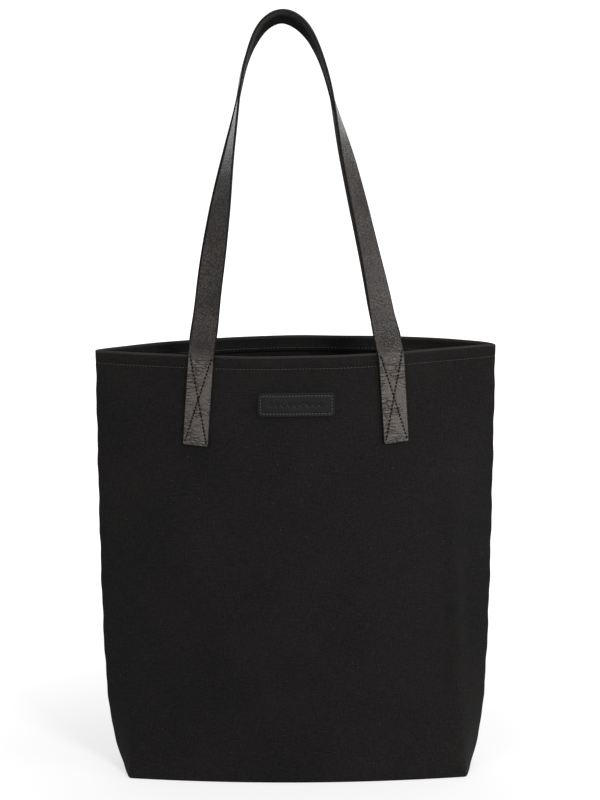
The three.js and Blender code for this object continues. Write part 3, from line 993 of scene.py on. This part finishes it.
def stitch_nodes():
    """Lays one stitch on each point, along the point's own "along", facing its own "outward"."""
    tree = bpy.data.node_groups.new("stitch_row", "GeometryNodeTree")
    tree.is_modifier = True

    def socket(name, way, kind, value=None):
        made = tree.interface.new_socket(name, in_out=way, socket_type=kind)
        if value is not None:
            made.default_value = value

    def stored(name):
        return add_node(tree, "GeometryNodeInputNamedAttribute", {"data_type": "FLOAT_VECTOR"},
                        Name=name).outputs[0]

    socket("Geometry", "INPUT", "NodeSocketGeometry")
    for name, value in (("Stitch length", 0.003), ("Stitch width", 0.0007), ("Stitch thickness", 0.0006),
                        ("Unevenness", 0.08)):
        socket(name, "INPUT", "NodeSocketFloat", value)
    socket("Seed", "INPUT", "NodeSocketInt", 4)
    socket("Thread", "INPUT", "NodeSocketMaterial")
    socket("Geometry", "OUTPUT", "NodeSocketGeometry")
    given = tree.nodes.new("NodeGroupInput").outputs
    result = tree.nodes.new("NodeGroupOutput").inputs
    bead = add_node(tree, "GeometryNodeMeshUVSphere", Segments=8, Rings=6, Radius=0.5)
    turned = add_node(tree, "GeometryNodeTransform", Geometry=bead.outputs["Mesh"],
                      Rotation=(0.0, math.pi / 2, 0.0))
    kept = add_node(tree, "GeometryNodeStoreNamedAttribute", {"data_type": "FLOAT_VECTOR"},
                    Geometry=turned.outputs[0], Name="strand",
                    Value=tree.nodes.new("GeometryNodeInputPosition").outputs[0])
    laid = add_node(tree, "FunctionNodeAlignRotationToVector", {"axis": "X"}, Vector=stored("along"))
    faced = add_node(tree, "FunctionNodeAlignRotationToVector", {"axis": "Z", "pivot_axis": "X"},
                     Rotation=laid.outputs[0], Vector=stored("outward"))
    chance = add_node(tree, "FunctionNodeRandomValue", {"data_type": "FLOAT"}, Seed=given["Seed"],
                      i2=-1.0, i3=1.0)
    uneven = calc(tree, "MULTIPLY", chance.outputs[1], given["Unevenness"])
    longer = calc(tree, "MULTIPLY_ADD", given["Stitch length"], uneven, given["Stitch length"])
    size = add_node(tree, "ShaderNodeCombineXYZ", X=longer, Y=given["Stitch width"],
                    Z=given["Stitch thickness"])
    lean = add_node(tree, "ShaderNodeCombineXYZ", Z=uneven)
    turn = add_node(tree, "FunctionNodeRotateRotation", {"rotation_space": "LOCAL"},
                    i0=faced.outputs[0], i1=lean.outputs[0])
    rows = add_node(tree, "GeometryNodeInstanceOnPoints", Points=given["Geometry"],
                    Instance=kept.outputs[0], Rotation=turn.outputs[0], Scale=size.outputs[0])
    real = add_node(tree, "GeometryNodeRealizeInstances", Geometry=rows.outputs[0])
    coloured = add_node(tree, "GeometryNodeSetMaterial", Geometry=real.outputs[0], Material=given["Thread"])
    tree.links.new(coloured.outputs[0], result[0])
    return tree


stitch_row = stitch_nodes()
stitch_share = 0.76
hem_stitch_pitch = 0.0032
cross_stitch_pitch = 0.0036
tape_stitch_pitch = 0.0034
tape_stitch_reach = 0.0048
thread_air = 0.00005
hem_stitch_end = 0.006
line_points = 400
cross_stitch_sink = 0.00012


def between(at, reach, line):
    """The points of a line at the given distances along it."""
    return np.stack([np.interp(at, reach, line[:, k]) for k in range(line.shape[1])], axis=-1)


def sew(name, rows, pitch, nodes, thread, face="front", width=0.0007, thickness=0.0006):
    """Sews rows of stitches. Each row is a line of points with the outward vector at each."""
    places, alongs, outwards = [], [], []
    for line, outward in rows:
        reach = distance_along(line)
        count = max(2, round(reach[-1] / pitch))
        at = (np.arange(count) + 0.5) / count * reach[-1]
        places.append(between(at, reach, line))
        alongs.append(unit(between(at + pitch / 3, reach, line) - between(at - pitch / 3, reach, line)))
        outwards.append(between(at, reach, outward))
    places, alongs, outwards = (np.concatenate(x) for x in (places, alongs, outwards))
    if face == "back":
        for vectors in (places, alongs, outwards):
            vectors[:, 1] *= -1
    mesh = bpy.data.meshes.new(name)
    mesh.from_pydata(places.tolist(), [], [])
    for label, vectors in (("along", alongs), ("outward", outwards)):
        layer = mesh.attributes.new(label, "FLOAT_VECTOR", "POINT")
        layer.data.foreach_set("vector", vectors.astype(np.float32).ravel())
    stitches = bpy.data.objects.new(name, mesh)
    scene.collection.objects.link(stitches)
    laid = stitches.modifiers.new("stitches", "NODES")
    laid.node_group = stitch_row
    wanted = {"Stitch length": stitch_share * pitch, "Stitch width": width,
              "Stitch thickness": thickness, "Thread": thread}
    for socket in stitch_row.interface.items_tree:
        if socket.in_out == "INPUT" and socket.name in wanted:
            laid[socket.identifier] = wanted[socket.name]
    made_plain(stitches)
    stitches.data.polygons.foreach_set("use_smooth", [True] * len(stitches.data.polygons))
    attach(stitches, "bag")
    if nodes:
        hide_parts(*nodes)


for face in ("front", "back"):
    # Round the hem, outside and inside
    reach = panel_width / 2 - hem_stitch_end
    across = np.linspace(-reach, reach, line_points)
    height = np.full(line_points, bag_height - hem_stitch_drop)
    outside = cloth_point(across, height, face, canvas_thickness / 2 + thread_air)
    inside = cloth_point(across, height + 0.0003, face, -1.5 * canvas_thickness - hem_air - thread_air)
    facing_out = cloth_normal(across, height, face)
    sew(f"{face}_hem_stitches", [(outside, facing_out), (inside, -facing_out)], hem_stitch_pitch,
        [f"{face}_hem_thread"], cloth_thread, face)

    # Crossed on both ends of the handle
    centres, across, outward, first = handle_lines[face]
    rows = {}
    for name, part in (("left", slice(0, first + 1)), ("right", slice(len(centres) - first - 1, None))):
        middle, sideways, out = centres[part], across[part], outward[part]
        reach = distance_along(middle)
        down = reach if name == "left" else reach[-1] - reach
        kept = (down > cross_margin) & (down < cross_margin + cross_length)
        rows[name] = []
        for lean in (-1, 1):
            aside = lean * cross_half_width * (1 - 2 * (down - cross_margin) / cross_length)
            lift = strap_thickness / 2 - cross_stitch_sink + (cross_stitch_sink if lean > 0 else 0)
            line = middle + aside[:, None] * sideways + lift * out
            rows[name].append((line[kept], out[kept]))
        sew(f"{face}_{name}_cross_stitches", rows[name], cross_stitch_pitch,
            [f"{face}_tab_thread_{name}"], strap_thread, face, width=0.0015, thickness=0.0010)

tape_rows = []
for centres, across, normal in side_tape_lines:
    for out in (-1, 1):
        tape_rows.append((centres + tape_stitch_reach * across
                          + out * (tape_half_gap + tape_thickness / 2) * normal, out * normal))
sew("seam_tape_stitches", tape_rows, tape_stitch_pitch, [], cloth_thread)


# ---- Leather label ----
# A small patch of the same black leather, with round corners, sewn to the front below the rim. It
# has a row of plain pressed lozenges, and one row of stitches just inside its edge.

label_width = 0.072
label_height = 0.022
label_thickness = 0.0012
label_middle = bag_height - 0.045
label_corner = 0.0035
label_margin = 0.0026
label_columns, label_lines = 180, 56
label_groove_depth = 0.00042
label_groove_reach = 0.0008
label_crown = 0.00015
label_crown_reach = 0.002
lozenge_depth = 0.00060
lozenge_rim = 0.12
lozenge_ring = 0.62
label_stitch_pitch = 0.0030
lozenge_pitch = 0.0058
lozenge_half = (0.0026, 0.0028)
lozenge_count = 9


def round_box_depth(x, z, half_x, half_z, corner):
    """How far inside a rounded rectangle a point is."""
    qx, qz = np.abs(x) - (half_x - corner), np.abs(z) - (half_z - corner)
    outside = np.hypot(np.maximum(qx, 0), np.maximum(qz, 0)) + np.minimum(np.maximum(qx, qz), 0)
    return corner - outside


label_leather = leather_material(
    "black_label_leather", dark=(0.0045, 0.0042, 0.0041, 1), pale=(0.0120, 0.0113, 0.0109, 1),
    pebble=0.0009, relief=0.00022, smooth=0.46, rough=0.60, gloss=0.35)

ease = np.linspace(-1, 1, label_columns + 1)
x = label_width / 2 * (0.80 * ease + 0.20 * np.sin(ease * math.pi / 2))
beyond = np.clip(np.abs(x) - (label_width / 2 - label_corner), 0, label_corner)
tall = label_height / 2 - label_corner + np.sqrt(np.clip(label_corner ** 2 - beyond ** 2, 0, None))
grid_x = np.repeat(x, label_lines + 1)
grid_z = (tall[:, None] * np.linspace(-1, 1, label_lines + 1)).ravel()
depth = round_box_depth(grid_x, grid_z, label_width / 2, label_height / 2, label_corner)
lift = -label_groove_depth * np.exp(-((depth - label_margin) / label_groove_reach) ** 2)
lift += label_crown * (1 - np.exp(-np.clip(depth, 0, None) / label_crown_reach))
start = -(lozenge_count - 1) / 2 * lozenge_pitch
for k in range(lozenge_count):
    inside = 1 - (np.abs(grid_x - start - k * lozenge_pitch) / lozenge_half[0]
                  + np.abs(grid_z) / lozenge_half[1])
    ring = np.clip(inside / lozenge_rim, 0, 1) * np.clip((lozenge_ring - inside) / lozenge_rim, 0, 1)
    lift -= lozenge_depth * ring
seat = canvas_thickness / 2 + strap_air + label_thickness / 2
points = cloth_point(grid_x, label_middle + grid_z, "front", seat + lift)
quads = []
for c in range(label_columns):
    for r in range(label_lines):
        a = c * (label_lines + 1) + r
        quads.append((a, a + label_lines + 1, a + label_lines + 2, a + 1))
label = mesh_piece("label_patch_leather", points, quads, [label_leather], (grid_x, grid_z))
thicken = label.modifiers.new("label_thickness", "SOLIDIFY")
thicken.thickness = label_thickness
thicken.offset = 0
soften = label.modifiers.new("soft_cut_edge", "BEVEL")
soften.width = 0.0003
soften.segments = 2
soften.limit_method = "ANGLE"
soften.angle_limit = math.radians(60)
made_plain(label)
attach(label, "bag")
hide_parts("label_patch")

half_x, half_z = label_width / 2 - label_margin, label_height / 2 - label_margin
round_line = label_corner - label_margin / 2
outline = []
for centre_x, centre_z, begin in ((1, 1, 0), (-1, 1, 90), (-1, -1, 180), (1, -1, 270)):
    for turn in np.radians(np.linspace(begin, begin + 90, 7)):
        outline.append((centre_x * (half_x - round_line) + round_line * math.cos(turn),
                        centre_z * (half_z - round_line) + round_line * math.sin(turn)))
outline.append(outline[0])
outline = np.array(outline)
length = distance_along(outline)
line_x, line_z = between(np.linspace(0, length[-1], line_points), length, outline).T
line = cloth_point(line_x, label_middle + line_z, "front", seat + label_thickness / 2 - 0.00002)
sew("label_stitches", [(line, cloth_normal(line_x, label_middle + line_z, "front"))], label_stitch_pitch,
    ["label_thread"], cloth_thread, width=0.0013, thickness=0.0011)
